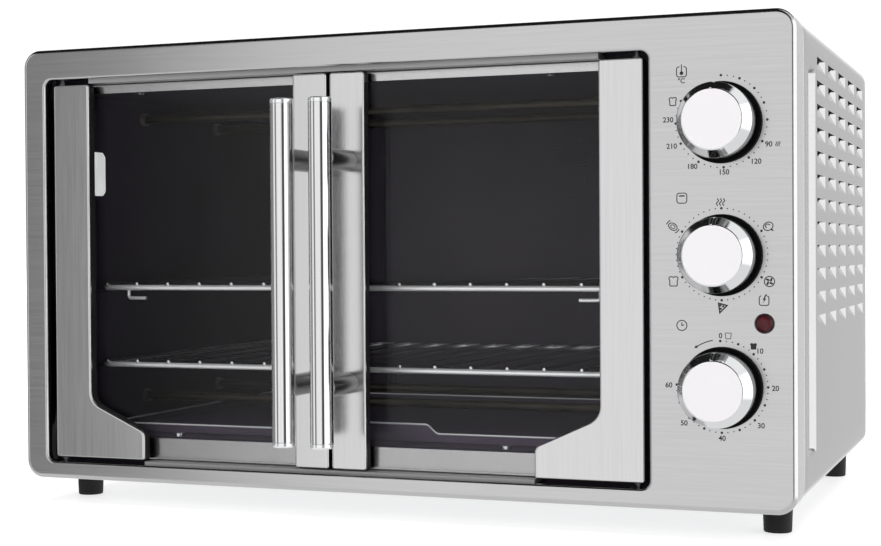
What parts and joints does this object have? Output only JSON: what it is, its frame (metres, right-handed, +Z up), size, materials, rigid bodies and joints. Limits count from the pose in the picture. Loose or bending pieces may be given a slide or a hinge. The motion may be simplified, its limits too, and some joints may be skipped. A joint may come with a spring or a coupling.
{
  "type": "electric countertop oven",
  "caption": "Wide brushed-steel countertop oven with side-hinged glass doors, tube handles, turning dials, wire racks, a crumb tray and a convection fan.",
  "frame": {"origin": "on the floor under the middle of the outline, at the level of the feet's undersides", "axes": "+X to the right seen from the front, +Y to the rear, +Z up; the doors and dials face -Y"},
  "size_m": [0.57, 0.446, 0.337],
  "materials": {
    "brushed_stainless": "horizontal brushed grain",
    "door_stainless": "fine vertical grain",
    "handle_steel": "polished along its length",
    "bright_chrome": "bright plated",
    "galvanised_steel": "plain zinc",
    "satin_silver": "plated plastic with a satin face",
    "plain_aluminium": "pressed and cast, unpolished",
    "dark_enamel": "gloss enamel",
    "sheath_metal": "heat stained",
    "white_ceramic": "glazed ceramic",
    "door_glass": "clear",
    "lamp_glass": "frosted",
    "indicator_red": "translucent dark red",
    "black_rubber": "matt",
    "black_plastic": "matt"
  },
  "bodies": {
    "cabinet": {"front_fascia": "brushed_stainless", "front_bulkhead": "dark_enamel", "left_side_panel": "brushed_stainless", "right_side_panel": "brushed_stainless", "top_panel": "brushed_stainless", "base_plate": "galvanised_steel", "rear_cover": "galvanised_steel", "cavity_left_wall": "dark_enamel", "cavity_right_wall": "dark_enamel", "cavity_ceiling": "dark_enamel", "cavity_floor": "dark_enamel", "cavity_back_wall": "dark_enamel", "rack_guides": "dark_enamel", "upper_heating_rods": "sheath_metal", "lower_heating_rods": "sheath_metal", "rod_insulators": "white_ceramic", "rubber_feet": "black_rubber", "cabinet_screws": "bright_chrome", "hinge_brackets": "galvanised_steel", "thermostat": "plain_aluminium", "function_switch": "black_plastic", "timer": "plain_aluminium", "indicator_lens": "indicator_red", "fan_housing": "galvanised_steel", "fan_motor": "plain_aluminium", "oven_lamp_lens": "lamp_glass", "oven_lamp_holder": "galvanised_steel", "terminal_block": "black_plastic", "cable_gland": "black_plastic", "sync_cables": "galvanised_steel"},
    "left_door": {"left_outer_strip": "door_stainless", "left_inner_strip": "door_stainless", "left_glass": "door_glass", "left_top_rail": "door_stainless", "left_bottom_rail": "door_stainless", "left_handle_bar": "handle_steel", "left_handle_caps": "bright_chrome", "left_handle_posts": "handle_steel", "left_handle_screws": "bright_chrome", "left_hinge_pins": "galvanised_steel"},
    "right_door": {"right_outer_strip": "door_stainless", "right_inner_strip": "door_stainless", "right_glass": "door_glass", "right_top_rail": "door_stainless", "right_bottom_rail": "door_stainless", "right_handle_bar": "handle_steel", "right_handle_caps": "bright_chrome", "right_handle_posts": "handle_steel", "right_handle_screws": "bright_chrome", "right_hinge_pins": "galvanised_steel"},
    "temperature_dial": {"temperature_knob": "satin_silver", "temperature_shaft": "galvanised_steel"},
    "function_dial": {"function_knob": "satin_silver", "function_shaft": "galvanised_steel"},
    "timer_dial": {"timer_knob": "satin_silver", "timer_shaft": "galvanised_steel"},
    "fan": {"convection_fan": "plain_aluminium"},
    "upper_rack_body": {"upper_rack": "bright_chrome"},
    "lower_rack_body": {"lower_rack": "bright_chrome"},
    "tray_body": {"crumb_tray": "dark_enamel"}
  },
  "joints": [
    {"name": "left_door_hinge", "type": "hinge", "parent": "cabinet", "child": "left_door", "pos_m": [-0.2565, -0.167, 0.172], "axis": [0, 0, -1], "range_deg": [0, 100]},
    {"name": "right_door_hinge", "type": "hinge", "parent": "cabinet", "child": "right_door", "pos_m": [0.1815, -0.167, 0.172], "axis": [0, 0, 1], "range_deg": [0, 100]},
    {"name": "temperature_turn", "type": "hinge", "parent": "cabinet", "child": "temperature_dial", "pos_m": [0.238, -0.177, 0.2665], "axis": [0, 1, 0], "range_deg": [0, 290]},
    {"name": "function_turn", "type": "hinge", "parent": "cabinet", "child": "function_dial", "pos_m": [0.238, -0.177, 0.1825], "axis": [0, 1, 0], "range_deg": [0, 300]},
    {"name": "timer_turn", "type": "hinge", "parent": "cabinet", "child": "timer_dial", "pos_m": [0.238, -0.177, 0.0985], "axis": [0, 1, 0], "range_deg": [-60, 270]},
    {"name": "fan_spin", "type": "hinge", "parent": "cabinet", "child": "fan", "pos_m": [0.19, 0.0076, 0.18825], "axis": [1, 0, 0], "continuous": true},
    {"name": "upper_rack_slide", "type": "slide", "parent": "cabinet", "child": "upper_rack_body", "axis": [0, -1, 0], "range_m": [-0.016, 0.012]},
    {"name": "lower_rack_slide", "type": "slide", "parent": "cabinet", "child": "lower_rack_body", "axis": [0, -1, 0], "range_m": [-0.016, 0.012]},
    {"name": "crumb_tray_slide", "type": "slide", "parent": "cabinet", "child": "tray_body", "axis": [0, -1, 0], "range_m": [-0.006, 0.012]}
  ],
  "couplings": [
    {"joint": "right_door_hinge", "follows": "left_door_hinge", "ratio": 1}
  ]
}
